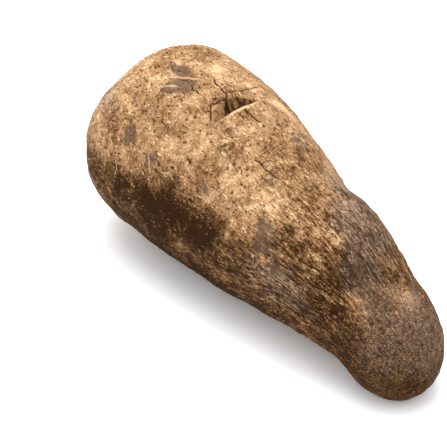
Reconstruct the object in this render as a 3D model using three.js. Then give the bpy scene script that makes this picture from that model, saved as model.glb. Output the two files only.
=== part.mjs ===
// White yam: one whole tuber, lying on its belly with its tip touching the table.
//
// Millimetres, +Z up. X runs along the tuber, from the thick crown at -X to the tip at +X,
// and Y across it. The origin is on the table under the middle of the tuber.
//
// The skin is one closed loft. A section's station on the tuber is an angle, 0 at the
// crown's pole and PI at the tip's pole, and its X is -HALF_LENGTH * cos(station). Around a
// section the angle is 0 on top and grows towards -Y, as the swells and the fold use it.

import * as THREE from 'three';

// Driving dimensions. The tuber is a thick round log from its crown to TAPER.from, narrows
// in a straight taper to TAPER.to and stays narrow to the tip. Each end is rounded off over
// its own length.
const HALF_LENGTH = 144;
const CROWN_RADIUS = 63;
const TIP_RADIUS = 31;
const TAPER = { from: -50, to: 110 };
const CROWN_END = 58;
const TIP_END = 34;

// Bends of the middle line. Past the place at x, the line leans sideways and droops by so
// many mm for each mm along. The crown's bend runs towards -X, the other two towards +X.
const CROWN_BEND = { x: -104, lean: -0.35, droop: 0.18 };
const MIDDLE_BEND = { x: -20, lean: -0.012, droop: 0 };
const TIP_BEND = { x: 107, lean: 0, droop: 0.3 };
const BEND_SOFTNESS = 12;

// Y of the middle line before its bends, so that the tuber's box is centred.
const MIDDLE_SIDE = 0.8;

// The belly follows the table, but is pressed into its flat spot and arched off the table
// before the tip: x, reach along and rise in mm.
const FLAT_SPOT = { x: -40, length: 28, rise: -1.9 };
const BELLY_ARCH = { x: 72, length: 32, rise: 5.5 };

const SECTIONS_ALONG = 74;
const POINTS_AROUND = 50;

// How far the lowest skin is pressed flat where the tuber rests: skin that would lie more
// than this below the table is flat on it, and skin this far above it is left alone.
const REST_SOFTNESS = 0.8;

// Low rises and hollows of the skin. x and angle place the middle, length (mm) and spread
// (degrees) are the reach, and rise is the height in mm, negative for a hollow.
const SWELLS = [
  { name: 'crown flat', x: -100, angle: 33, length: 20, spread: 22, rise: -2.4 },
  { name: 'crown top', x: -104, angle: 0, length: 18, spread: 55, rise: 4.2 },
  { name: 'crown front', x: -124, angle: 0, length: 12, spread: 300, rise: -3.4 },
  { name: 'upper waist', x: 31, angle: -48, length: 13, spread: 26, rise: -2.0 },
  { name: 'shoulder', x: 64, angle: -45, length: 18, spread: 24, rise: 1.2 },
  { name: 'lower waist', x: 94, angle: 120, length: 13, spread: 36, rise: -2.6 },
  { name: 'flank hollow', x: -48, angle: 82, length: 30, spread: 20, rise: -2.6 },
  { name: 'middle hollow', x: -6, angle: 70, length: 16, spread: 14, rise: -2.2 },
  { name: 'belly ridge', x: 28, angle: 64, length: 16, spread: 16, rise: 1.8 },
  { name: 'neck valley', x: 98, angle: 10, length: 12, spread: 70, rise: -2.4 },
  { name: 'fold lip', x: -21, angle: -3, length: 9, spread: 22, rise: 1.6 },
  { name: 'back hollow', x: -55, angle: -105, length: 30, spread: 26, rise: -2.6 },
  { name: 'back swell', x: 10, angle: -110, length: 26, spread: 24, rise: 2.0 },
  { name: 'back waist', x: 70, angle: -120, length: 20, spread: 30, rise: -1.8 },
  { name: 'under hollow', x: 55, angle: 165, length: 18, spread: 26, rise: -1.5 },
];

// Swells fade out towards the poles, where sine of the station drops under this.
const POLE_FADE = 0.35;

// The open fold across the top of the crown: a lens-shaped groove with a long slope on its
// crown side and a steep lip on its tip side. Its middle line bends towards the crown on
// the far side (negative angles).
const FOLD = {
  x: -32.5,
  lean: 0.1,
  bend: 0.0072,
  middleAngle: -3,
  halfSpread: 26,
  halfWidth: 6.4,
  depth: 6.5,
  deepest: 0.5,
};

// The grid's sections bend with the fold's middle line this far along (mm) and around
// (degrees), and run straight across elsewhere.
const FOLD_FOLLOW = { length: 24, spread: 50 };

// Grid lines draw together around the fold, on top of the tuber.
const CLOSE_ALONG = { at: 1.34, reach: 0.09, gain: 2.6 };
const CLOSE_AROUND = { at: 0, reach: 0.5, gain: 0.9 };

const DEGREES = 180 / Math.PI;

/** How far past a place, 0 before it, with the corner rounded off. */
function past(distance) {
  return (distance + Math.hypot(distance, BEND_SOFTNESS)) / 2;
}

/** Radius of the log and its taper, without the round ends. */
function logRadius(x) {
  const slope = (CROWN_RADIUS - TIP_RADIUS) / (TAPER.to - TAPER.from);
  return CROWN_RADIUS - slope * (past(x - TAPER.from) - past(x - TAPER.to));
}

/** Share of the radius that is left at a distance from an end: a quarter of an ellipse. */
function roundEnd(distance, length) {
  const left = 1 - Math.min(distance / length, 1);
  return Math.sqrt(1 - left * left);
}

/** Sideways and downward offsets of the middle line at x, all bends together. */
function middleBend(x) {
  const crown = past(CROWN_BEND.x - x);
  const middle = past(x - MIDDLE_BEND.x);
  const tip = past(x - TIP_BEND.x);
  return {
    lean: CROWN_BEND.lean * crown + MIDDLE_BEND.lean * middle + TIP_BEND.lean * tip,
    droop: CROWN_BEND.droop * crown + MIDDLE_BEND.droop * middle + TIP_BEND.droop * tip,
  };
}

/** Rise of the belly at x, where it is pressed flat or arched off the table. */
function bellyRise(x) {
  const rise = (place) => place.rise * Math.exp(-(((x - place.x) / place.length) ** 2));
  return rise(FLAT_SPOT) + rise(BELLY_ARCH);
}

/** Angle in degrees brought between -180 and 180. */
function wrapDegrees(angle) {
  return ((((angle + 180) % 360) + 360) % 360) - 180;
}

/** Height of all swells at one place on the skin. */
function swellRise(x, angle) {
  let rise = 0;
  for (const swell of SWELLS) {
    const along = (x - swell.x) / swell.length;
    const around = wrapDegrees(angle - swell.angle) / swell.spread;
    rise += swell.rise * Math.exp(-along * along - around * around);
  }
  return rise;
}

/** How far the fold's middle line has moved along the tuber at an angle, in mm. */
function foldShift(angle) {
  const farSide = Math.min(angle, 0);
  return FOLD.lean * angle - FOLD.bend * farSide * farSide;
}

/** Depth of the fold at one place on the skin, 0 outside it. */
function foldDepth(x, angle) {
  const end = (angle - FOLD.middleAngle) / FOLD.halfSpread;
  if (Math.abs(end) >= 1) return 0;
  const open = Math.sqrt(1 - end * end);
  const across = (x - FOLD.x - foldShift(angle)) / (FOLD.halfWidth * open);
  if (Math.abs(across) >= 1) return 0;
  const slope = (1 + across) / (1 + FOLD.deepest);
  const lip = (1 - across) / (1 - FOLD.deepest);
  return FOLD.depth * open * Math.min(slope, lip);
}

/** The table's push: skin that would sink below it lies flat, with a soft edge. */
function settle(z) {
  if (z >= REST_SOFTNESS) return z;
  if (z <= -REST_SOFTNESS) return 0;
  return (z + REST_SOFTNESS) ** 2 / (4 * REST_SOFTNESS);
}

/** A grid station moved so that its section follows the fold where it is near it. */
function followFold(station, angle) {
  const along = (-HALF_LENGTH * Math.cos(station) - FOLD.x) / FOLD_FOLLOW.length;
  const around = angle / FOLD_FOLLOW.spread;
  const share = Math.exp(-along * along - around ** 4);
  return station + (share * foldShift(angle)) / HALF_LENGTH;
}

/** The skin's point at a grid station and an angle around it, both in radians. */
function skinPoint(gridStation, around) {
  const angle = wrapDegrees(around * DEGREES);
  const station = followFold(gridStation, angle);
  const x = -HALF_LENGTH * Math.cos(station);
  const ends = roundEnd(x + HALF_LENGTH, CROWN_END) * roundEnd(HALF_LENGTH - x, TIP_END);
  const fade = Math.min(1, Math.sin(station) / POLE_FADE);
  const radius = logRadius(x) * ends + swellRise(x, angle) * fade - foldDepth(x, angle);
  const bend = middleBend(x);
  const height = logRadius(x) - bend.droop + bellyRise(x);
  return new THREE.Vector3(
    x,
    MIDDLE_SIDE + bend.lean - radius * Math.sin(around),
    settle(height + radius * Math.cos(around)),
  );
}

/**
 * Grid values from start to end in count equal shares of a density that is 1 plus a peak
 * (gain / cosh squared) around one place. The running total has a closed form, with tanh,
 * and each value is found by halving.
 */
function spreadValues(start, end, count, peak) {
  const total = (v) => v + peak.gain * peak.reach * Math.tanh((v - peak.at) / peak.reach);
  const values = [];
  for (let i = 0; i <= count; i += 1) {
    const wanted = total(start) + ((total(end) - total(start)) * i) / count;
    let low = start;
    let high = end;
    for (let step = 0; step < 40; step += 1) {
      const middle = (low + high) / 2;
      if (total(middle) < wanted) low = middle;
      else high = middle;
    }
    values.push((low + high) / 2);
  }
  return values;
}

/** The closed loft: rings of points between two poles. */
function tuberGeometry() {
  const stations = spreadValues(0, Math.PI, SECTIONS_ALONG, CLOSE_ALONG).slice(1, -1);
  const angles = spreadValues(-Math.PI, Math.PI, POINTS_AROUND, CLOSE_AROUND).slice(0, -1);
  const points = [skinPoint(0, 0)];
  for (const station of stations) {
    for (const angle of angles) points.push(skinPoint(station, angle));
  }
  points.push(skinPoint(Math.PI, 0));

  const around = angles.length;
  const lastPole = points.length - 1;
  const at = (ring, k) => 1 + ring * around + (k % around);
  const faces = [];
  for (let k = 0; k < around; k += 1) {
    faces.push(0, at(0, k + 1), at(0, k));
    for (let ring = 0; ring < stations.length - 1; ring += 1) {
      faces.push(at(ring, k), at(ring, k + 1), at(ring + 1, k));
      faces.push(at(ring, k + 1), at(ring + 1, k + 1), at(ring + 1, k));
    }
    faces.push(at(stations.length - 1, k), at(stations.length - 1, k + 1), lastPole);
  }

  const geometry = new THREE.BufferGeometry().setFromPoints(points);
  geometry.setIndex(faces);
  geometry.computeVertexNormals();
  return geometry;
}

const skinMaterial = new THREE.MeshStandardMaterial({
  name: 'yam_skin',
  color: 0xa5835c,
  roughness: 0.8,
  metalness: 0,
});

const tuber = new THREE.Mesh(tuberGeometry(), skinMaterial);
tuber.name = 'tuber';

const group = new THREE.Group();
group.add(tuber);

export default group;
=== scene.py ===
"""White yam: the tuber's skin, the studio stage and the camera."""

import bpy
import numpy as np
from mathutils import Euler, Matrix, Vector


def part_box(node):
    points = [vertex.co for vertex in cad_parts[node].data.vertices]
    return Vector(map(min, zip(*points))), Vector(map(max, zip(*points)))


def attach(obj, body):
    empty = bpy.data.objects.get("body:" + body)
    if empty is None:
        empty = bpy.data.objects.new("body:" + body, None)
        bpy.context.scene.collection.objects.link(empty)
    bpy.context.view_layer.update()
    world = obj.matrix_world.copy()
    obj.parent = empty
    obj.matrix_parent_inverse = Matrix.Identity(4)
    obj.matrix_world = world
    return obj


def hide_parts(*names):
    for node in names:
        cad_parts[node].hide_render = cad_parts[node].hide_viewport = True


bl_info = {
    "name": "White Yam",
    "version": (1, 0, 0),
    "blender": (4, 5, 0),
    "location": "3D View > Sidebar > White Yam",
    "description": "Builds a whole white yam tuber with its skin, on a pale studio floor",
    "category": "Add Mesh",
}

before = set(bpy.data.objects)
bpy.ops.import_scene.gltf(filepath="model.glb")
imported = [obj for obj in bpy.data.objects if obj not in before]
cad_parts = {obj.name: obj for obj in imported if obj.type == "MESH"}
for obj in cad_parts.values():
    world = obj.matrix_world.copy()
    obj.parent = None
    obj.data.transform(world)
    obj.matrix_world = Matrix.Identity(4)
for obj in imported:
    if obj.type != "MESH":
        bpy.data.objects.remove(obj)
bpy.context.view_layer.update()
TUBER_LOW, TUBER_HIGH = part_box("tuber")

# Shapes are worked out in millimetres and scaled to metres when a mesh is made. X runs from
# the crown to the tip. A place on the skin is given by x and by the angle around the tuber
# in degrees, 0 on top and growing towards -Y.
MM = 0.001
HALF_LENGTH = (TUBER_HIGH.x - TUBER_LOW.x) / 2 / MM


# ---------------------------------------------------------------------------------------
# The tuber's form
# ---------------------------------------------------------------------------------------

# The tuber is a thick round log from its crown to TAPER's start, narrows in a straight
# taper to TAPER's end and stays narrow to the tip. Each end is rounded off over its length.
CROWN_RADIUS = 63
TIP_RADIUS = 31
TAPER = (-50, 110)
CROWN_END = 58
TIP_END = 34

# Bends of the middle line: x, then the lean sideways and the droop for each mm past x. The
# crown's bend runs towards -X, the other two towards +X.
CROWN_BEND = (-104, -0.35, 0.18)
MIDDLE_BEND = (-20, -0.012, 0)
TIP_BEND = (107, 0, 0.3)
BEND_SOFTNESS = 12

# Y of the middle line before its bends, so that the tuber's box is centred.
MIDDLE_SIDE = 0.8

# The belly is pressed into its flat spot and arched off the floor before the tip: x, reach
# along and rise.
FLAT_SPOT = (-40, 28, -1.9)
BELLY_ARCH = (72, 32, 5.5)

# Low rises and hollows: x, angle, reach along (mm), reach around (degrees), rise (mm).
SWELLS = {
    "crown_flat": (-100, 33, 20, 22, -2.4),
    "crown_top": (-104, 0, 18, 55, 4.2),
    "crown_front": (-124, 0, 12, 300, -3.4),
    "upper_waist": (31, -48, 13, 26, -2.0),
    "shoulder": (64, -45, 18, 24, 1.2),
    "lower_waist": (94, 120, 13, 36, -2.6),
    "flank_hollow": (-48, 82, 30, 20, -2.6),
    "middle_hollow": (-6, 70, 16, 14, -2.2),
    "belly_ridge": (28, 64, 16, 16, 1.8),
    "neck_valley": (98, 10, 12, 70, -2.4),
    "fold_lip": (-21, -3, 9, 22, 1.6),
    "back_hollow": (-55, -105, 30, 26, -2.6),
    "back_swell": (10, -110, 26, 24, 2.0),
    "back_waist": (70, -120, 20, 30, -1.8),
    "under_hollow": (55, 165, 18, 26, -1.5),
}
POLE_FADE = 0.35
REST_SOFTNESS = 0.8

# The open fold across the top of the crown. Its lip is straight on the near side and
# bends towards the crown on the far side, where the wall behind the lip runs out.
FOLD_LIP = -25.2
FOLD_BEND = 0.0104
FOLD_BEND_FROM = 4
FOLD_WIDTH = 11.8
FOLD_FAR = (2, 21)
FOLD_NEAR = (8, 14)
FOLD_SLOPE = 0.82
FOLD_FOLLOW = (24, 50)
LIP_EDGE = 0.7

# A shallow slope lies behind the wall on the far side, down from a cracked rim.
SLOPE_RIM = -37.6
SLOPE_BEND = 0.0085
SLOPE_DEPTH = 0.9

# The near end of the fold is a shallower plate of skin, split off along a slanting crack.
PLATE_EDGE = (3.5, -37, 0.7)
PLATE_SHARE = 0.34

# Radius in mm of the straight sleeve that lines and fibres are laid out on.
SLEEVE = 60.0

# Grid lines draw together around the fold: at, reach and gain of the density's peak.
CLOSE_ALONG = (1.375, 0.10, 2.4)
CLOSE_AROUND = (0.0, 1.3, 0.55)


def past(distance):
    """How far past a place, 0 before it, with the corner rounded off.

    The value is half the sum of the distance and the length of a right-angled triangle's
    long side, whose short sides are the distance and the softness."""
    return (distance + np.hypot(distance, BEND_SOFTNESS)) / 2


def log_radius(x):
    """Radius of the log and its straight taper, without the round ends."""
    start, end = TAPER
    slope = (CROWN_RADIUS - TIP_RADIUS) / (end - start)
    return CROWN_RADIUS - slope * (past(x - start) - past(x - end))


def round_end(distance, length):
    """Share of the radius left at a distance from an end: a quarter of an ellipse."""
    left = 1 - np.clip(distance / length, 0, 1)
    return np.sqrt(1 - left * left)


def middle_line(x):
    """Y and Z of the tuber's middle at x.

    Each bend leans and droops in proportion to the way past it. The height is the log's
    radius, so that the belly follows the floor, less the droop, plus a bell-shaped rise at
    the flat spot and at the arch."""
    bends = (
        (CROWN_BEND, past(CROWN_BEND[0] - x)),
        (MIDDLE_BEND, past(x - MIDDLE_BEND[0])),
        (TIP_BEND, past(x - TIP_BEND[0])),
    )
    side = sum(bend[1] * way for bend, way in bends)
    droop = sum(bend[2] * way for bend, way in bends)
    rise = sum(
        place[2] * np.exp(-(((x - place[0]) / place[1]) ** 2))
        for place in (FLAT_SPOT, BELLY_ARCH)
    )
    return MIDDLE_SIDE + side, log_radius(x) - droop + rise


def spread_values(start, end, count, peak):
    """count + 1 values from start to end, closer together around a peak.

    The density is 1 plus a peak of gain / cosh squared, so its running total is the value
    plus gain * reach * tanh of the distance over the reach. The values share that total
    out evenly."""
    at, reach, gain = peak
    fine = np.linspace(start, end, 4001)
    total = fine + gain * reach * np.tanh((fine - at) / reach)
    return np.interp(np.linspace(total[0], total[-1], count + 1), total, fine)


def smooth_step(low, high, value):
    """0 below low, 1 above high, and a smooth cubic step between them."""
    t = np.clip((value - low) / (high - low), 0, 1)
    return t * t * (3 - 2 * t)


def wrap_degrees(angle):
    """The angle brought between -180 and 180."""
    return (angle + 180) % 360 - 180


def spot(x, angle, place):
    """Bell-shaped mark, 1 at its place and fading with the squared distance over its reach.

    place is x, angle, reach along in mm and reach around in degrees."""
    at_x, at_angle, length, spread = place
    across = wrap_degrees(angle - at_angle) / spread
    return np.exp(-(((x - at_x) / length) ** 2) - across**2)


def fold_shift(angle):
    """How far the fold's lip has moved along the tuber at an angle, in mm."""
    return -FOLD_BEND * np.minimum(angle - FOLD_BEND_FROM, 0) ** 2


def follow_fold(station, angle):
    """Grid stations moved so that their sections run along the fold where they are near it.

    The fold's shift is added with a weight that falls off along and around the tuber."""
    length, spread = FOLD_FOLLOW
    along = (-HALF_LENGTH * np.cos(station) - FOLD_LIP) / length
    share = np.exp(-(along**2) - (angle / spread) ** 4)
    return station + share * fold_shift(angle) / HALF_LENGTH


def settle(z):
    """Skin that would sink below the floor lies flat on it, with a soft edge."""
    soft = (np.clip(z, -REST_SOFTNESS, REST_SOFTNESS) + REST_SOFTNESS) ** 2
    return np.where(z > REST_SOFTNESS, z, soft / (4 * REST_SOFTNESS))


def tuber_body(grid_station, around):
    """The smooth tuber, without its fold, in mm.

    At a station angle s and an angle a around it, x is -half length * cos s, the radius is
    the log's radius times both round ends plus the swells, and the point lies that far from
    the middle line in the direction of a. Returns the points, x and the angle in degrees."""
    station = np.clip(follow_fold(grid_station, np.degrees(around)), 0, np.pi)
    angle = np.degrees(around) + 0 * station
    x = -HALF_LENGTH * np.cos(station)
    fade = np.minimum(1, np.sin(station) / POLE_FADE)
    rise = sum(swell[4] * spot(x, angle, swell[:4]) for swell in SWELLS.values())
    ends = round_end(x + HALF_LENGTH, CROWN_END) * round_end(HALF_LENGTH - x, TIP_END)
    radius = log_radius(x) * ends + rise * fade
    side, height = middle_line(x)
    points = np.stack(
        [x, side - radius * np.sin(around), height + radius * np.cos(around)], axis=-1
    )
    return points, x, angle


def skin_place(x, angle):
    """The point of the smooth tuber at x and an angle in degrees, in mm."""
    station = np.arccos(-np.asarray(x, float) / HALF_LENGTH)
    around = np.radians(np.asarray(angle, float))
    length, spread = FOLD_FOLLOW
    share = np.exp(-(((x - FOLD_LIP) / length) ** 2) - (np.degrees(around) / spread) ** 4)
    unshifted = station - share * fold_shift(np.degrees(around)) / HALF_LENGTH
    return tuber_body(unshifted, around)[0]


def sleeve_place(x, angle):
    """The place x, angle laid on a straight sleeve of even radius, in mm.

    Marks that are drawn on the sleeve follow the skin and meet all the way around."""
    around = np.radians(angle)
    return np.stack([x + 0 * around, SLEEVE * np.sin(around), SLEEVE * np.cos(around)], axis=-1)


def outward(points):
    """Unit normals of a grid of points that is closed around and has a pole at each end.

    Each is the cross product of the differences around and along, and a pole's is the
    direction from its neighbours' middle."""
    around = np.roll(points, -1, axis=1) - np.roll(points, 1, axis=1)
    along = np.gradient(points, axis=0)
    normal = np.cross(around, along)
    normal[0] = (-1, 0, 0)
    normal[-1] = (1, 0, 0)
    return normal / np.linalg.norm(normal, axis=-1, keepdims=True)


# ---------------------------------------------------------------------------------------
# Noise
# ---------------------------------------------------------------------------------------


def lattice_random(cells, seed):
    """A repeatable number from 0 to 1 for each whole-number cell.

    The cell's three numbers and the seed are mixed by multiplying with large odd numbers
    and folding the high bits back down."""
    mixed = (
        cells[..., 0] * 374761393
        + cells[..., 1] * 668265263
        + cells[..., 2] * 2147483647
        + seed * 1274126177
    ) & 0xFFFFFFFF
    mixed = ((mixed ^ (mixed >> 13)) * 1274126177) & 0xFFFFFFFF
    mixed = ((mixed ^ (mixed >> 16)) * 2246822519) & 0xFFFFFFFF
    return (mixed ^ (mixed >> 15)) / 0xFFFFFFFF


def value_noise(points, size, seed):
    """Smooth noise from -1 to 1 with lumps about size mm across.

    Random numbers on a cubic lattice are blended with the quintic fade of each point's
    place in its cell. size is one number, or three for stretched lumps."""
    scaled = points / np.asarray(size, float)
    cell = np.floor(scaled).astype(np.int64)
    t = scaled - cell
    t = t**3 * (t * (6 * t - 15) + 10)
    total = 0
    for corner in np.ndindex(2, 2, 2):
        weight = np.prod(np.where(corner, t, 1 - t), axis=-1)
        total = total + weight * lattice_random(cell + np.array(corner), seed)
    return 2 * total - 1


def fractal_noise(points, size, octaves, seed):
    """Sum of noises, each half as large and half as high as the one before."""
    size = np.asarray(size, float)
    total = 0
    for octave in range(octaves):
        total = total + value_noise(points, size / 2**octave, seed + octave) / 2**octave
    return total


def nearest_seed(points, size, seed):
    """Distance in mm from each point to the nearest of scattered seeds, and its number.

    Each cubic cell of the given size holds one seed at a random place. The 27 cells around
    a point are tried. The number, 0 to 1, is the same all around one seed."""
    cell = np.floor(points / size).astype(np.int64)
    best = np.full(points.shape[:-1], np.inf)
    number = np.zeros(points.shape[:-1])
    for step in np.ndindex(3, 3, 3):
        other = cell + np.array(step) - 1
        place = np.stack([lattice_random(other, seed + k) for k in range(3)], axis=-1)
        distance = np.linalg.norm((other + place) * size - points, axis=-1)
        closer = distance < best
        best = np.where(closer, distance, best)
        number = np.where(closer, lattice_random(other, seed + 3), number)
    return best, number


# ---------------------------------------------------------------------------------------
# Relief and marks of the skin
# ---------------------------------------------------------------------------------------

# Cracks around the fold, each a line of places on the skin, with its width in mm.
CRACKS = {
    "near_end": (((-29, 20.5), (-31, 18.8), (-34, 16.5), (-37.3, 14)), 0.50),
    "rim": (((-37.3, 14), (-36.9, 10), (-37.4, 7), (-36.4, 4.5), (-37.8, 2)), 0.50),
    "upward": (((-37.8, 1.5), (-41, 0.2), (-42.8, 1.2), (-46, 0), (-50, 1), (-54.5, -1)), 0.55),
    "far_rim": (((-41, 0.2), (-40.2, -5), (-39.6, -10), (-41, -16), (-42, -21), (-44, -27)), 0.42),
    "plate": (((-37, 3.5), (-34, 5), (-32, 7.5), (-29, 9), (-26.5, 11.5)), 0.55),
    "head_nick": (((-57, 13), (-54.5, 14.5), (-52, 13), (-50, 13.5)), 0.42),
    "head_tick": (((-66, 14), (-64, 12), (-61, 12.5)), 0.35),
    "below_a": (((-21, 0.5), (-18, -1), (-15.5, -1.6), (-12.5, -3.5)), 0.45),
    "below_a2": (((-23, 5), (-20, 4), (-18, 4.4)), 0.35),
    "below_b": (((9, 17.5), (12, 16.2), (15, 17), (18, 16.2), (21, 15.6), (24.5, 14.6)), 0.50),
    "below_c": (((28, 13.5), (31, 12.8), (34, 13)), 0.40),
    "belly_a": (((69, 51), (72, 49.5), (75, 49.3), (80.5, 46)), 0.60),
    "belly_b": (((79, 60.5), (82, 59.5), (84.5, 57.6), (89.5, 54.5)), 0.60),
    "belly_c": (((67, 67.5), (70, 67), (72.5, 67.8), (76, 66.5)), 0.50),
    "belly_d": (((80.5, 69), (84, 68.4), (86, 67), (89, 66.4)), 0.55),
    "neck_a": (((90, 34.5), (93, 33), (95.5, 33), (98.5, 31)), 0.50),
    "neck_b": (((95, 48.5), (98, 48), (101.5, 46.5)), 0.50),
    "belly_e": (((48, 90), (54, 88.5), (60, 88.8), (66, 87)), 0.50),
    "hollow_a": (((-4, 92), (4, 90), (12, 91)), 0.40),
    "back_a": (((-30, -70), (-22, -72), (-14, -70), (-8, -71)), 0.45),
    "back_b": (((40, -118), (50, -116), (58, -117)), 0.45),
    "back_c": (((-88, -118), (-82, -108), (-84, -98)), 0.50),
}
GROOVE_REACH = 1.6

# Light scratches, each a line of places on the skin, with its width in mm.
SCRATCHES = {
    "crown_a": (((-73, 16), (-70.5, 14), (-66, 11.5), (-60, 7)), 0.9),
    "crown_b": (((-76, 2.5), (-75, -1), (-73.5, -5)), 0.8),
    "crown_c": (((-72.5, 26), (-69, 23), (-64.5, 20)), 0.9),
    "crown_d": (((-81, 20), (-80, 23), (-81, 25)), 0.8),
    "flank_c": (((-74, 76), (-72, 80), (-73, 84)), 0.5),
    "flank_d": (((-84, 63), (-80, 68), (-82, 73)), 0.5),
    "tick_a": (((-48, 61), (-46.5, 63), (-45, 65.5)), 0.7),
    "tick_b": (((-22.5, 48), (-21, 50.5), (-19.5, 51.5)), 0.8),
    "tick_c": (((-31, 56), (-29, 55), (-27, 56)), 0.9),
    "saddle_a": (((-18, 14), (-14, 11), (-11, 12)), 0.6),
    "saddle_b": (((-15, 22), (-11, 20), (-9, 16)), 0.6),
    "saddle_c": (((-10, -10), (-4, -13), (2, -12)), 0.6),
    "far_a": (((-14, -34), (-4, -36), (8, -39)), 0.6),
    "ring": (((71, 20), (70, 16.5), (72, 14), (75.5, 14), (78, 16.5), (77, 20)), 1.0),
    "hollow": (((-34, 63), (-30, 60), (-27, 62)), 0.7),
}

# Skin tone and painted shade: x, angle, reach along, reach around, and how much darker (or
# lighter) it is. The entries that darken the near flank, the hollows, the lower edge, the
# underside, the lower neck and tip and the back are painted shade and painted shadow.
SKIN_TONES_AND_SHADE = {
    "crown_light": (-102, 28, 24, 36, -0.14),
    "above_fold": (-58, -14, 13, 16, -0.22),
    "left_of_fold": (-52, 36, 20, 20, -0.12),
    "right_of_fold": (-27, -30, 9, 8, -0.25),
    "middle_light": (40, 28, 20, 16, -0.10),
    "middle_pale": (25, 46, 14, 12, -0.20),
    "neck_warm": (106, 42, 9, 13, -0.28),
    "tip_face": (128, 10, 22, 60, -0.09),
    # Painted shadow: a dark band on the near flank that joins the flank's shade to the hollow's.
    "flank_bridge": (-28, 84, 16, 12, 0.22),
    "neck_grey": (93, 20, 12, 14, 0.14),
    "tip_glow": (117, -6, 6, 14, -0.34),
    # Painted shade and shadow: the next five darken the near flank, its lower edge and the underside, where
    # the skin turns away from the light and lies in shadow.
    "painted_flank_shadow": (-55, 88, 40, 15, 0.36),
    "flank_shade": (-45, 118, 75, 30, 0.44),
    "lower_edge": (0, 130, 70, 24, 0.26),
    "crown_flank": (-112, 88, 16, 20, 0.14),
    "underside": (-30, 180, 90, 55, 0.22),
    # Painted shade: the next three darken the hollow between crown and belly and the lower belly.
    "painted_hollow_shade": (-2, 80, 30, 16, 0.50),
    "hollow_top": (-20, 68, 14, 9, 0.14),
    "painted_belly_shade": (50, 96, 38, 30, 0.15),
    "belly_mid": (58, 58, 16, 14, 0.10),
    # Painted shade: the next two darken the lower side of the neck and of the tip.
    "neck_low": (98, 80, 16, 30, 0.16),
    "tip_low": (130, 100, 24, 60, 0.14),
    "crown_end": (-140, 60, 12, 180, 0.10),
    # Painted shade on the lower back.
    "back_shade": (-50, -120, 60, 40, 0.16),
}

# Grey-brown bark with fine pale flecks, along the far shoulder and over the tip.
BARK = {
    "far_waist": (38, -44, 16, 26, 0.9),
    "far_shoulder": (68, -38, 22, 34, 1.0),
    "shoulder_top": (78, -5, 18, 20, 0.7),
    "neck": (96, 20, 13, 18, 1.0),
    "tip": (130, 30, 22, 90, 0.75),
    "tip_far": (134, -90, 20, 70, 0.75),
    "far_edge": (0, -52, 24, 12, 0.6),
    "back": (40, -130, 50, 40, 0.7),
    "crown_back": (-100, -90, 26, 30, 0.5),
    "crown_edge": (-108, 45, 10, 15, 0.70),
    "belly": (62, 80, 34, 26, 0.75),
}

# Orange-brown stains.
WARM = {
    "tip_stain": (117, -6, 5, 12, 0.6),
    "tip_spot": (121, 34, 5, 9, 0.6),
    "neck_stain": (106, 42, 7, 12, 0.6),
    "belly_red": (58, 66, 14, 12, 0.40),
    "crown_stain": (-88, 17, 11, 9, 0.45),
    "flank_stain": (-20, 82, 10, 6, 0.7),
    "tip_red": (128, 95, 12, 30, 0.25),
    "belly_low": (88, 100, 14, 12, 0.30),
}

# Grey-brown smudges where soil is rubbed into the skin.
SMUDGES = {
    "crown_smudge": (-61, 17, 9, 7, 1.00),
    "crown_smudge_top": (-74, 9, 8, 6, 0.90),
    "crown_smudge_tail": (-67, 23, 5, 4, 0.60),
    "left_smudge": (-68.7, 58, 6, 7, 1.00),
    "crown_edge": (-97, 52, 8, 9, 0.60),
    "saddle_smudge": (-46, 61, 8, 7, 0.50),
    "saddle_grey": (6, -22, 16, 10, 0.50),
    "fold_side": (-25, 24, 6, 6, 0.45),
    "middle_smudge": (44, 60, 7, 7, 0.75),
    "middle_patch": (40, 48, 7, 7, 0.75),
    "waist_patch": (23, 19, 7, 7, 0.45),
    "hollow_patch": (-6, 55, 6, 5, 0.65),
    "belly_smear": (58, 70, 6, 6, 0.60),
    "neck_patch": (103, 20, 7, 10, 0.45),
    "back_patch": (-20, -80, 18, 14, 0.40),
    "back_patch_crown": (-92, -60, 14, 12, 0.45),
    "back_low": (30, -150, 20, 16, 0.40),
}

# Cream marks where the outer skin is scraped off.
SCRAPES = {
    "fold_end": (-27, -31, 7, 5, 1.0),
    "fold_end_low": (-20, -34, 6, 4, 0.8),
    "crown_nick": (-80, 22, 3.0, 2.6, 1.0),
    "crown_stroke": (-76, 14, 4.5, 1.8, 0.9),
    "crown_stroke_top": (-82, 6, 4.5, 1.8, 0.8),
    "pit_light_a": (-12, 24.5, 3.4, 3.0, 0.9),
    "pit_light_b": (0, 34, 2.8, 2.8, 0.9),
    "belly_pale": (75, 40, 6, 4, 0.7),
}

# Rootlet scars: x, angle, radius in mm. Each is a small dark hole with a raised pale rim.
ROOTLET_SCARS = [
    (-84.5, 27, 1.2),
    (-77, 42, 1.3),
    (-72, 52, 1.0),
    (-57, 43, 1.1),
    (-52, 47, 1.2),
    (-40, 30, 1.4),
    (-10.7, 25, 1.5),
    (0.6, 35, 1.5),
    (2, 30, 1.3),
    (-30, 57, 1.4),
    (12, 44, 1.3),
    (-9, -4, 1.2),
    (34, 40, 1.1),
    (42, 22, 1.1),
    (-64, -4, 1.1),
    (-100, -40, 1.4),
    (-60, -70, 1.3),
    (-5, -95, 1.5),
    (40, -100, 1.3),
    (60, 60, 1.2),
    (90, -80, 1.2),
    (118, 40, 1.1),
    (-40, 140, 1.5),
    (20, 150, 1.3),
]


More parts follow.
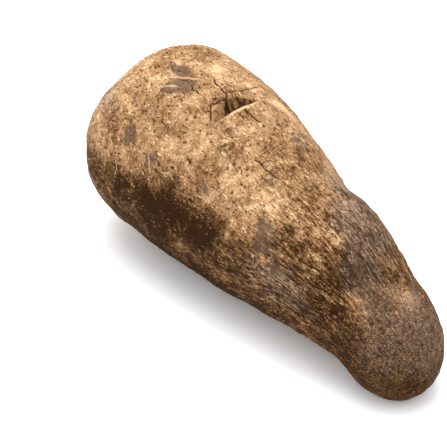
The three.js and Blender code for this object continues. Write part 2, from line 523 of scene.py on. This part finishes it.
def beside_lines(sleeve, lines):
    """How far each point lies beside the nearest of a set of lines, counted in widths.

    Each stretch of a line gives the distance from the point to its nearest place, and the
    least is kept, once bare and once with the sign of the side the point is on."""
    radial = sleeve * (0, 1, 1)
    apart = np.full(sleeve.shape[:-1], np.inf)
    side = np.zeros_like(apart)
    for places, width in lines.values():
        corners = [sleeve_place(x, angle) for x, angle in places]
        for start, end in zip(corners, corners[1:]):
            run = end - start
            share = np.clip((sleeve - start) @ run / (run @ run), 0, 1)
            away = sleeve - start - share[..., None] * run
            gap = np.linalg.norm(away, axis=-1) / width
            hand = np.sign(np.sum(away * np.cross(run, radial), axis=-1))
            side = np.where(gap < apart, gap * hand, side)
            apart = np.minimum(apart, gap)
    return side, apart


def total_of(spots, x, angle):
    """Sum of spots, each times its strength, the fifth number."""
    return sum(row[4] * spot(x, angle, row[:4]) for row in spots.values())


def fold_width(angle):
    """Width of the fold's wall in mm, which shrinks by powers of the way to its ends."""
    far = np.clip((FOLD_FAR[0] - angle) / FOLD_FAR[1], 0, 1)
    near = np.clip((angle - FOLD_NEAR[0]) / FOLD_NEAR[1], 0, 1)
    return FOLD_WIDTH * (1 - far**1.5) * (1 - near**3)


def fold_depth(x, angle):
    """Depth of the fold in mm, and the marks of its plate, its inside and its wall's foot.

    The wall slopes evenly down to the foot of the lip, which rises in one steep step. The
    plate is a share as deep, and the slope behind the wall is a soft step down."""
    behind_lip = FOLD_LIP + fold_shift(angle) - x
    width = fold_width(angle)
    inside = (behind_lip > 0) * (behind_lip < width)
    edge, at_x, slant = PLATE_EDGE
    plate = smooth_step(edge - 0.6, edge + 0.6, angle - slant * (x - at_x))
    fall = FOLD_SLOPE * (width - behind_lip) * smooth_step(0, LIP_EDGE, behind_lip)
    wall = inside * fall * (1 - (1 - PLATE_SHARE) * plate)
    rim = SLOPE_RIM - SLOPE_BEND * np.minimum(angle + 2, 0) ** 2
    top = FOLD_LIP + fold_shift(angle) - width
    share = np.clip((x - rim) / np.maximum(top - rim, 0.5), 0, 1)
    faded = smooth_step(-27, -20, angle) * smooth_step(4, -2, angle)
    ahead = smooth_step(0, LIP_EDGE, behind_lip)
    slope = SLOPE_DEPTH * smooth_step(0, 0.5, share) * faded * ahead
    # Painted shade: foot darkens the fold's wall towards the foot of the lip.
    foot = inside * (1 - plate) * smooth_step(0.75, 0.1, behind_lip / np.maximum(width, 0.5))
    return wall + slope, plate, inside, foot


def skin_relief(points, x, angle):
    """Height of the skin's relief over the smooth tuber in mm, and marks for the colours.

    Lumps of three sizes are fractal noise. Lengthwise wrinkles are ridged noise stretched
    along X, which grow towards the tip. Rootlet scars are bell-shaped holes in wider
    bell-shaped rims. Cracks are bell-shaped grooves along their lines."""
    fibre = smooth_step(-25, 70, x + 12 * value_noise(points, 22, 5))
    calm = smooth_step(95, 125, x)
    lumps = (0.5 * calm - 0.9) * fractal_noise(points, 30, 3, 11)
    knobs = (0.18 * calm - 0.30) * fractal_noise(points, 6.5, 2, 31)
    strands = fractal_noise(points, (26, 4.6, 4.6), 3, 51)
    wrinkles = (0.5 - np.abs(strands)) * (0.12 + 0.75 * fibre) * (1 - 0.6 * calm)
    bark = 0.16 * value_noise(points, (5, 2.4, 2.4), 71)

    scar_hole = np.zeros_like(x)
    scar_rim = np.zeros_like(x)
    for at_x, at_angle, radius in ROOTLET_SCARS:
        gap = np.linalg.norm(points - skin_place(at_x, at_angle), axis=-1) / radius
        scar_hole = np.maximum(scar_hole, np.exp(-(gap**2)))
        scar_rim = np.maximum(scar_rim, np.exp(-((gap - 1.7) ** 2) * 2.5))
    scar_rim *= np.clip(0.5 + 1.3 * value_noise(points, 2.6, 95), 0, 1)
    distance, number = nearest_seed(points, 9.0, 91)
    small_hole = np.exp(-((distance / 1.3) ** 2)) * (number < 0.55)

    sleeve = sleeve_place(x, angle)
    crack_side, crack_gap = beside_lines(sleeve, CRACKS)
    scratch_side, scratch_gap = beside_lines(sleeve, SCRATCHES)
    crack = np.exp(-((crack_gap / GROOVE_REACH) ** 2))

    depth, plate, inside, foot = fold_depth(x, angle)
    in_fold = inside * smooth_step(0.9, 1.6, depth + 0.6 * plate)
    past_lip = x - FOLD_LIP - fold_shift(angle)
    # Painted highlight: a cream strip along the top of the fold's lip, where light catches the edge. It goes
    # into the scrape mark.
    painted_lip_highlight = (
        smooth_step(-0.2, 0.3, past_lip) * smooth_step(3.2, 1.0, past_lip) * spot(x, angle, (-26, 1, 20, 15))
    )
    ribs = 0.5 * value_noise(points, (9, 1.7, 9), 81) * in_fold

    relief = lumps + knobs + wrinkles + bark + ribs
    relief += 0.35 * scar_rim - 0.9 * scar_hole - 0.5 * small_hole - 0.8 * crack - depth
    marks = {
        # The tone mark is the skin's tone plus the painted shade placed in the tone table.
        "tone": total_of(SKIN_TONES_AND_SHADE, x, angle) + 0.34 * smooth_step(10, 100, x),
        "smudge": total_of(SMUDGES, x, angle),
        # The scrape mark carries real scrapes, pale scar rims and the painted highlight on the lip.
        "scrape_and_highlight": total_of(SCRAPES, x, angle) + 0.5 * scar_rim + 1.2 * painted_lip_highlight,
        "bark": total_of(BARK, x, angle),
        "warm": total_of(WARM, x, angle),
        "fibre": fibre,
        "calm": calm,
        "hole": np.clip(scar_hole + 0.8 * small_hole, 0, 1),
        "fold": in_fold,
        "plate": plate,
        "foot": foot,
        # foot carries the painted shade at the foot of the fold's wall.
        "crack_side": crack_side,
        "crack_gap": crack_gap,
        "scratch_side": scratch_side,
        "scratch_gap": scratch_gap,
        "sleeve": sleeve,
    }
    return relief, marks


def grid_mesh(name, points, marks):
    """Closed mesh from a grid of points in mm whose first and last rows are poles.

    Each pole is one vertex with a fan of triangles, and each cell between rows is a quad.
    The bake map's u runs along the grid and its v around it."""
    rows, around = points.shape[:2]
    ring_points = points[1:-1].reshape(-1, 3)
    vertices = np.vstack([points[0, :1], ring_points, points[-1, :1]]) * MM
    rings = rows - 2
    ring, k = np.meshgrid(np.arange(rings - 1), np.arange(around), indexing="ij")
    following = (k + 1) % around
    quads = np.stack(
        [
            1 + ring * around + k,
            1 + (ring + 1) * around + k,
            1 + (ring + 1) * around + following,
            1 + ring * around + following,
        ],
        axis=-1,
    ).reshape(-1, 4)
    step = np.arange(around)
    after = (step + 1) % around
    last = len(vertices) - 1
    first_fan = np.stack([0 * step, 1 + step, 1 + after], axis=-1)
    end_row = 1 + (rings - 1) * around
    last_fan = np.stack([0 * step + last, end_row + after, end_row + step], axis=-1)

    mesh = bpy.data.meshes.new(name)
    corners = np.concatenate([quads.ravel(), first_fan.ravel(), last_fan.ravel()])
    sizes = np.concatenate([np.full(len(quads), 4), np.full(2 * around, 3)])
    starts = np.concatenate([[0], np.cumsum(sizes)[:-1]])
    mesh.vertices.add(len(vertices))
    mesh.vertices.foreach_set("co", vertices.astype(np.float32).ravel())
    mesh.loops.add(len(corners))
    mesh.loops.foreach_set("vertex_index", corners.astype(np.int32))
    mesh.polygons.add(len(sizes))
    mesh.polygons.foreach_set("loop_start", starts.astype(np.int32))
    mesh.update(calc_edges=True)

    low_u = (ring + 1) / (rows - 1)
    high_u = (ring + 2) / (rows - 1)
    low_v = k / around
    high_v = (k + 1) / around
    quad_uv = np.stack([low_u, low_v, high_u, low_v, high_u, high_v, low_u, high_v], axis=-1)
    zero = 0 * step
    edge = 1 / (rows - 1)
    low_step = step / around
    high_step = (step + 1) / around
    middle = (low_step + high_step) / 2
    first_uv = np.stack([zero, middle, zero + edge, low_step, zero + edge, high_step], axis=-1)
    last_uv = np.stack(
        [zero + 1, middle, zero + 1 - edge, high_step, zero + 1 - edge, low_step], axis=-1
    )
    layer = mesh.uv_layers.new(name="OFBake")
    uv = np.concatenate([quad_uv.ravel(), first_uv.ravel(), last_uv.ravel()])
    layer.data.foreach_set("uv", uv.astype(np.float32))

    for mark, values in marks.items():
        kind, field = ("FLOAT", "value") if values.ndim == 2 else ("FLOAT_VECTOR", "vector")
        attribute = mesh.attributes.new(mark, kind, "POINT")
        between = values[1:-1].reshape(-1, *values.shape[2:])
        column = np.concatenate([values[0, :1], between, values[-1, :1]])
        attribute.data.foreach_set(field, column.astype(np.float32).ravel())
    mesh.polygons.foreach_set("use_smooth", np.ones(len(sizes), bool))
    mesh.validate()
    return mesh


# ---------------------------------------------------------------------------------------
# Materials
# ---------------------------------------------------------------------------------------


class Shader:
    """A material's node tree, with one short method for each kind of node it uses."""

    def __init__(self, name):
        self.material = bpy.data.materials.new(name)
        self.material.use_nodes = True
        self.tree = self.material.node_tree
        self.surface = self.tree.nodes["Principled BSDF"]
        self.place = self.tree.nodes.new("ShaderNodeTexCoord").outputs["Object"]

    def set(self, socket, value):
        """Links a socket to another, or sets its number or colour."""
        if isinstance(value, bpy.types.NodeSocket):
            self.tree.links.new(value, socket)
        else:
            socket.default_value = value

    def attribute(self, name, output="Fac"):
        node = self.tree.nodes.new("ShaderNodeAttribute")
        node.attribute_name = name
        return node.outputs[output]

    def math(self, kind, first, second, clamp=False):
        node = self.tree.nodes.new("ShaderNodeMath")
        node.operation = kind
        node.use_clamp = clamp
        self.set(node.inputs[0], first)
        self.set(node.inputs[1], second)
        return node.outputs[0]

    def scaled(self, place, factors):
        """The place with each of its coordinates multiplied by its own factor."""
        node = self.tree.nodes.new("ShaderNodeVectorMath")
        node.operation = "MULTIPLY"
        self.set(node.inputs[0], place)
        self.set(node.inputs[1], factors)
        return node.outputs["Vector"]

    def line_gap(self, name, wander):
        """Distance beside a line in its widths, bent by wander and held off past its ends."""
        side = self.math("ADD", self.attribute(name + "_side"), wander)
        side = self.math("ABSOLUTE", side, 0.0)
        past = self.math("SUBTRACT", self.attribute(name + "_gap"), 2.0)
        return self.math("MAXIMUM", side, past)

    def noise(self, size, detail=3, roughness=0.5, distortion=0.0, place=None, offset=0.0):
        """Noise with lumps about size mm across, 0 to 1."""
        node = self.tree.nodes.new("ShaderNodeTexNoise")
        node.noise_dimensions = "4D"
        self.set(node.inputs["Vector"], place or self.place)
        node.inputs["W"].default_value = offset
        node.inputs["Scale"].default_value = 1 / (size * MM)
        node.inputs["Detail"].default_value = detail
        node.inputs["Roughness"].default_value = roughness
        node.inputs["Distortion"].default_value = distortion
        return node.outputs["Fac"]

    def centred(self, value):
        """A 0 to 1 value moved to lie around 0."""
        return self.math("SUBTRACT", value, 0.5)

    def cells(self, size, place=None):
        """Distance to the nearest of scattered seeds, in cells, and the seed's number."""
        node = self.tree.nodes.new("ShaderNodeTexVoronoi")
        self.set(node.inputs["Vector"], place or self.place)
        node.inputs["Scale"].default_value = 1 / (size * MM)
        return node.outputs["Distance"], node.outputs["Color"]

    def step(self, value, low, high, from_value=0.0, to_value=1.0):
        """Smooth step of a value from low to high, between two results."""
        node = self.tree.nodes.new("ShaderNodeMapRange")
        node.interpolation_type = "SMOOTHSTEP"
        for socket, number in zip(node.inputs, (value, low, high, from_value, to_value)):
            self.set(socket, number)
        return node.outputs[0]

    def mix(self, share, first, second, kind="MIX"):
        node = self.tree.nodes.new("ShaderNodeMix")
        node.data_type = "RGBA"
        node.blend_type = kind
        self.set(node.inputs["Factor"], share)
        self.set(node.inputs[6], first)
        self.set(node.inputs[7], second)
        return node.outputs[2]

    def ramp(self, value, stops):
        """Colours from dark to light at rising values."""
        node = self.tree.nodes.new("ShaderNodeValToRGB")
        elements = node.color_ramp.elements
        while len(elements) < len(stops):
            elements.new(0.5)
        for element, (position, colour) in zip(elements, stops):
            element.position = position
            element.color = opaque(colour)
        self.set(node.inputs["Fac"], value)
        return node.outputs["Color"]

    def bump(self, height, distance, strength, normal=None):
        node = self.tree.nodes.new("ShaderNodeBump")
        node.inputs["Distance"].default_value = distance * MM
        node.inputs["Strength"].default_value = strength
        self.set(node.inputs["Height"], height)
        if normal is not None:
            self.set(node.inputs["Normal"], normal)
        return node.outputs["Normal"]


def opaque(colour):
    """A colour with full alpha."""
    return (*colour, 1.0)


def skin_material(colours):
    """Corky skin: a mottle of tan on brown, with streaks, specks, smudges and scrapes.

    One darkness value is the sum of the placed tone with its painted shade on the flanks and
    underside, broad patches, a fine mottle and lengthwise streaks. One ramp turns it into tan
    skin and another into grey bark. Stains, smudges, scrapes with the painted highlight along
    the fold's lip, holes and the fold's walls with their painted shade are then mixed over them."""
    s = Shader("yam_skin")
    fibre = s.attribute("fibre")
    calm = s.attribute("calm")

    patches = s.centred(s.noise(15, detail=3, roughness=0.6, distortion=0.4))
    blotches = s.centred(s.noise(5.5, detail=3, roughness=0.6, distortion=0.8, offset=3.0))
    mottle = s.centred(s.noise(2.3, detail=3, roughness=0.65, distortion=1.0, offset=7.0))
    fibres = s.scaled(s.attribute("sleeve", "Vector"), (0.27 * MM, MM, MM))
    strands = s.centred(s.noise(1.5, detail=3, roughness=0.65, place=fibres, offset=1.0))
    grain = s.centred(s.noise(0.8, detail=2, roughness=0.6, offset=5.0))
    flecked = s.scaled(s.attribute("sleeve", "Vector"), (0.5 * MM, MM, MM))
    flecks = s.centred(s.noise(1.5, detail=2, roughness=0.6, place=flecked, offset=11.0))
    pale_flecks = s.step(flecks, 0.11, 0.17)
    dark_flecks = s.step(flecks, -0.17, -0.11, 1.0, 0.0)
    crisp_flecks = s.math("SUBTRACT", dark_flecks, pale_flecks)
    lengthwise = s.math("MULTIPLY", fibre, s.math("SUBTRACT", 1.0, calm))
    crisp_mottle = s.step(mottle, -0.13, 0.13, -0.5, 0.5)
    crisp_strands = s.step(strands, -0.08, 0.08, -0.5, 0.5)

    # tone holds painted shade on the flanks, hollows and underside besides the skin's own tone.
    darkness = s.math("ADD", s.attribute("tone"), 0.44)
    parts = (
        (patches, s.step(calm, 0, 1, 1.25, 0.35)),
        (blotches, s.step(fibre, 0, 1, 0.75, 0.35)),
        (crisp_mottle, s.step(lengthwise, 0, 1, 0.22, 0.24)),
        (crisp_strands, s.step(lengthwise, 0, 1, 0.05, 0.38)),
        (crisp_flecks, s.step(calm, 0, 1, 0.46, 0.34)),
        (grain, s.step(calm, 0, 1, 1.0, 1.6)),
    )
    for part, gain in parts:
        darkness = s.math("ADD", darkness, s.math("MULTIPLY", part, gain))
    darkness = s.math("ADD", darkness, 0.0, clamp=True)
    tan_skin = s.ramp(
        darkness,
        (
            (0.0, colours.cream),
            (0.22, colours.light_tan),
            (0.45, colours.tan),
            (0.70, colours.brown),
            (1.0, colours.dark_brown),
        ),
    )
    bark_skin = s.ramp(
        darkness,
        (
            (0.15, colours.pale_bark),
            (0.60, colours.bark),
            (1.0, colours.dark_bark),
        ),
    )
    bark = s.math("ADD", s.attribute("bark"), s.math("MULTIPLY", blotches, 1.6))
    colour = s.mix(s.step(bark, 0.25, 0.75, 0.0, 0.9), tan_skin, bark_skin)
    warm = s.math("ADD", s.attribute("warm"), s.math("MULTIPLY", mottle, 1.5))
    stained = s.mix(1.0, colour, opaque(colours.stain), "MULTIPLY")
    colour = s.mix(s.step(warm, 0.3, 0.9, 0.0, 0.8), colour, stained)

    smudge = s.math("ADD", s.attribute("smudge"), s.math("MULTIPLY", blotches, 1.3))
    smudge = s.math("ADD", smudge, s.math("MULTIPLY", mottle, 0.5))
    colour = s.mix(s.step(smudge, 0.22, 0.62, 0.0, 0.75), colour, opaque(colours.smudge))
    # Real scrapes, pale scar rims and the painted highlight along the fold's lip turn cream.
    scrape_and_highlight = s.math("ADD", s.attribute("scrape_and_highlight"), s.math("MULTIPLY", mottle, 2.5))
    colour = s.mix(s.step(scrape_and_highlight, 0.45, 0.85, 0.0, 0.8), colour, opaque(colours.cream))

    scratch = s.line_gap("scratch", s.math("MULTIPLY", mottle, 4.0))
    colour = s.mix(s.step(scratch, 0.4, 1.2, 0.55, 0.0), colour, opaque(colours.cream))

    gap, seed_number = s.cells(3.4)
    chosen = s.step(seed_number, 0.45, 0.55)
    speck = s.math("MULTIPLY", s.step(gap, 0.14, 0.28, 1.0, 0.0), chosen)
    colour = s.mix(s.math("MULTIPLY", speck, 0.65), colour, opaque(colours.dark_brown))
    hole = s.step(s.attribute("hole"), 0.15, 0.8, 0.0, 0.8)
    colour = s.mix(hole, colour, opaque(colours.deep))

    crack = s.line_gap("crack", s.math("MULTIPLY", mottle, 3.0))
    crack = s.step(crack, 0.45, 1.25, 0.9, 0.0)
    colour = s.mix(crack, colour, opaque(colours.deep))

    ribs = s.noise(1.2, detail=3, roughness=0.6, place=s.scaled(s.place, (0.25, 1, 0.25)))
    plate_wall = s.mix(s.step(ribs, 0.3, 0.7), opaque(colours.brown), opaque(colours.tan))
    # Painted shade: the deep wall is coloured dark brown and darkest at its foot, the shade inside the fold.
    shaded_wall = s.mix(s.step(ribs, 0.42, 0.66), opaque(colours.dark_brown), opaque(colours.fold_wall))
    shaded_wall = s.mix(s.step(s.attribute("foot"), 0, 1, 0.0, 0.4), shaded_wall, opaque(colours.deep))
    wall = s.mix(s.attribute("plate"), shaded_wall, plate_wall)
    colour = s.mix(s.attribute("fold"), colour, s.mix(crack, wall, opaque(colours.deep)))
    s.set(s.surface.inputs["Base Color"], colour)

    s.set(s.surface.inputs["Roughness"], s.step(mottle, -0.2, 0.2, 0.6, 0.85))
    s.surface.inputs["Specular IOR Level"].default_value = 0.03

    height = s.math("SUBTRACT", s.math("MULTIPLY", mottle, -1.2), s.math("MULTIPLY", speck, 0.5))
    height = s.math("SUBTRACT", height, s.math("MULTIPLY", strands, fibre))
    height = s.math("SUBTRACT", height, s.math("MULTIPLY", crack, 0.5))
    coarse = s.bump(height, 1.0, 1.2)
    s.set(s.surface.inputs["Normal"], s.bump(grain, 0.4, 0.6, coarse))
    return s.material


def floor_material(colours):
    """Pale matt studio paper with a hardly visible tooth."""
    s = Shader("studio_floor")
    tooth = s.noise(2.0, detail=2)
    s.surface.inputs["Base Color"].default_value = opaque(colours.floor)
    s.surface.inputs["Roughness"].default_value = 0.95
    s.surface.inputs["Specular IOR Level"].default_value = 0.03
    s.set(s.surface.inputs["Normal"], s.bump(tooth, 0.02, 0.1))
    return s.material


# ---------------------------------------------------------------------------------------
# Settings
# ---------------------------------------------------------------------------------------


def colour_property(name, description, default):
    """A colour setting, in linear light."""
    return bpy.props.FloatVectorProperty(
        name=name,
        description=description,
        subtype="COLOR",
        size=3,
        min=0.0,
        max=1.0,
        default=default,
    )


class YamSkinSettings(bpy.types.PropertyGroup):
    """Fineness and colours of the skin."""

    rows: bpy.props.IntProperty(
        name="Rows",
        description="Grid rows from the crown to the tip",
        default=384,
        min=40,
        max=400,
    )
    columns: bpy.props.IntProperty(
        name="Columns",
        description="Grid points around the tuber",
        default=256,
        min=32,
        max=256,
    )
    # Cream is also the colour of the painted highlight along the fold's lip.
    cream: colour_property("Cream", "Scraped skin, pale rims and painted lip highlight", (0.61, 0.42, 0.235))
    light_tan: colour_property("Light tan", "Dry outer skin", (0.43, 0.255, 0.128))
    tan: colour_property("Tan", "Skin's middle tone", (0.285, 0.155, 0.072))
    brown: colour_property("Brown", "Weathered skin", (0.125, 0.060, 0.022))
    # Dark brown, deep brown and the fold wall's colour also paint the shade inside the fold, and dark brown
    # the shadow along the near flank.
    dark_brown: colour_property("Dark brown", "Soil in the skin and painted shade", (0.026, 0.010, 0.003))
    deep: colour_property("Deep brown", "Inside of cracks and pits, and painted shade at the fold's foot", (0.020, 0.008, 0.003))
    fold_wall: colour_property("Fold wall", "Ribs on the fold's wall, in painted shade", (0.21, 0.110, 0.048))
    smudge: colour_property("Smudge", "Grey-brown smudges", (0.088, 0.054, 0.036))
    stain: colour_property("Stain", "Tint of orange-brown stains", (1.0, 0.80, 0.50))
    pale_bark: colour_property("Pale bark", "Flecks of the bark", (0.42, 0.29, 0.20))
    bark: colour_property("Bark", "Grey-brown bark", (0.175, 0.106, 0.066))
    dark_bark: colour_property("Dark bark", "Furrows of the bark", (0.040, 0.022, 0.013))


class YamStageSettings(bpy.types.PropertyGroup):
    """Camera, lights and floor."""

    azimuth: bpy.props.FloatProperty(
        name="Azimuth",
        description="Turn of the camera about the tuber, 0 looking along +Y",
        subtype="ANGLE",
        default=np.radians(53.13),
    )
    elevation: bpy.props.FloatProperty(
        name="Elevation",
        description="Height angle of the camera over the floor",
        subtype="ANGLE",
        default=np.radians(32.95),
    )
    distance: bpy.props.FloatProperty(
        name="Distance",
        description="Camera to the point it looks at",
        unit="LENGTH",
        default=0.7547,
    )
    target: bpy.props.FloatVectorProperty(
        name="Target",
        description="Point that the camera looks at",
        subtype="TRANSLATION",
        default=(-0.0118, -0.0234, 0.0491),
    )
    lens: bpy.props.FloatProperty(
        name="Lens",
        description="Focal length in mm",
        default=100.0,
    )
    floor: colour_property("Floor", "Studio paper", (0.92, 0.92, 0.93))
    key_power: bpy.props.FloatProperty(
        name="Key light",
        description="Power of the broad light overhead",
        unit="POWER",
        default=10.4,
    )
    fill_power: bpy.props.FloatProperty(
        name="Fill light",
        description="Power of the light beside the camera",
        unit="POWER",
        default=0.8,
    )


# ---------------------------------------------------------------------------------------
# Operators
# ---------------------------------------------------------------------------------------


def add_object(name, data):
    """Links new data to the scene as an object at the origin."""
    made = bpy.data.objects.new(name, data)
    bpy.context.scene.collection.objects.link(made)
    return made


class YAM_OT_tuber(bpy.types.Operator):
    """Builds the tuber's skin and puts it in place of the plain solid"""

    bl_idname = "yam.tuber"
    bl_label = "Tuber"

    def execute(self, context):
        settings = context.scene.yam_skin
        stations = spread_values(0, np.pi, settings.rows, CLOSE_ALONG)[:, None]
        angles = spread_values(-np.pi, np.pi, settings.columns, CLOSE_AROUND)[None, :-1]
        points, x, angle = tuber_body(stations, angles)
        relief, marks = skin_relief(points, x, angle)
        normals = outward(points)
        skin = points + normals * relief[..., None]
        skin[..., 2] = settle(skin[..., 2])
        skin[0] = skin[0].mean(axis=0)
        skin[-1] = skin[-1].mean(axis=0)
        tuber = add_object("yam_skin", grid_mesh("yam_skin", skin, marks))
        tuber.data.materials.append(skin_material(settings))
        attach(tuber, "root")
        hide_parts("tuber")
        return {"FINISHED"}


class YAM_OT_stage(bpy.types.Operator):
    """Adds the floor, the lights and the camera"""

    bl_idname = "yam.stage"
    bl_label = "Stage"

    def execute(self, context):
        settings = context.scene.yam_stage
        self.add_floor(settings)
        self.add_world()
        target = Vector(settings.target)
        self.add_light("key", settings.key_power, 0.9, target + Vector((-0.22, 0.08, 0.96)), target)
        self.add_light("fill", settings.fill_power, 0.7, target + Vector((0.2, -0.9, 0.6)), target)
        self.add_camera(settings, target)
        return {"FINISHED"}

    def add_floor(self, settings):
        """A wide flat square at the height of the tuber's lowest skin."""
        reach = 6.0
        corners = [(-reach, -reach, 0), (reach, -reach, 0), (reach, reach, 0), (-reach, reach, 0)]
        mesh = bpy.data.meshes.new("studio_floor")
        mesh.from_pydata(corners, [], [(0, 1, 2, 3)])
        mesh.materials.append(floor_material(settings))
        add_object("studio_floor", mesh)

    def add_world(self):
        """Even white light from all around."""
        world = bpy.data.worlds.new("studio_light")
        world.use_nodes = True
        background = world.node_tree.nodes["Background"]
        background.inputs["Color"].default_value = (1.0, 1.0, 1.0, 1.0)
        background.inputs["Strength"].default_value = 1.38
        bpy.context.scene.world = world
        bpy.context.scene.view_settings.view_transform = "Standard"

    def add_light(self, name, power, size, place, target):
        """A soft square light that faces the target."""
        light = bpy.data.lights.new(name, "AREA")
        light.energy = power
        light.size = size
        lamp = add_object(name, light)
        lamp.location = place
        lamp.rotation_euler = (target - place).to_track_quat("-Z", "Y").to_euler()

    def add_camera(self, settings, target):
        """A long lens that looks down on the tuber from its tip's side."""
        camera = bpy.data.cameras.new("camera")
        camera.lens = settings.lens
        camera.clip_start = 0.01
        camera.clip_end = 50.0
        viewer = add_object("camera", camera)
        turn = Euler((np.pi / 2 - settings.elevation, 0.0, settings.azimuth))
        viewer.rotation_euler = turn
        viewer.location = target + turn.to_matrix() @ Vector((0, 0, settings.distance))
        bpy.context.scene.camera = viewer


class YAM_PT_panel(bpy.types.Panel):
    """Lists the yam's operators and settings"""

    bl_idname = "YAM_PT_panel"
    bl_label = "White Yam"
    bl_space_type = "VIEW_3D"
    bl_region_type = "UI"
    bl_category = "White Yam"

    def draw(self, context):
        for operator in OPERATORS:
            self.layout.operator(operator.bl_idname)
        for settings in (context.scene.yam_skin, context.scene.yam_stage):
            for name in settings.bl_rna.properties.keys():
                if name not in ("rna_type", "name"):
                    self.layout.prop(settings, name)


OPERATORS = (YAM_OT_stage, YAM_OT_tuber)
CLASSES = (YamSkinSettings, YamStageSettings, *OPERATORS, YAM_PT_panel)


def register():
    for each in CLASSES:
        bpy.utils.register_class(each)
    bpy.types.Scene.yam_skin = bpy.props.PointerProperty(type=YamSkinSettings)
    bpy.types.Scene.yam_stage = bpy.props.PointerProperty(type=YamStageSettings)


def unregister():
    del bpy.types.Scene.yam_stage
    del bpy.types.Scene.yam_skin
    for each in reversed(CLASSES):
        bpy.utils.unregister_class(each)


def main():
    """Builds the stage and the tuber."""
    register()
    bpy.ops.yam.stage()
    bpy.ops.yam.tuber()


if __name__ == "__main__":
    main()
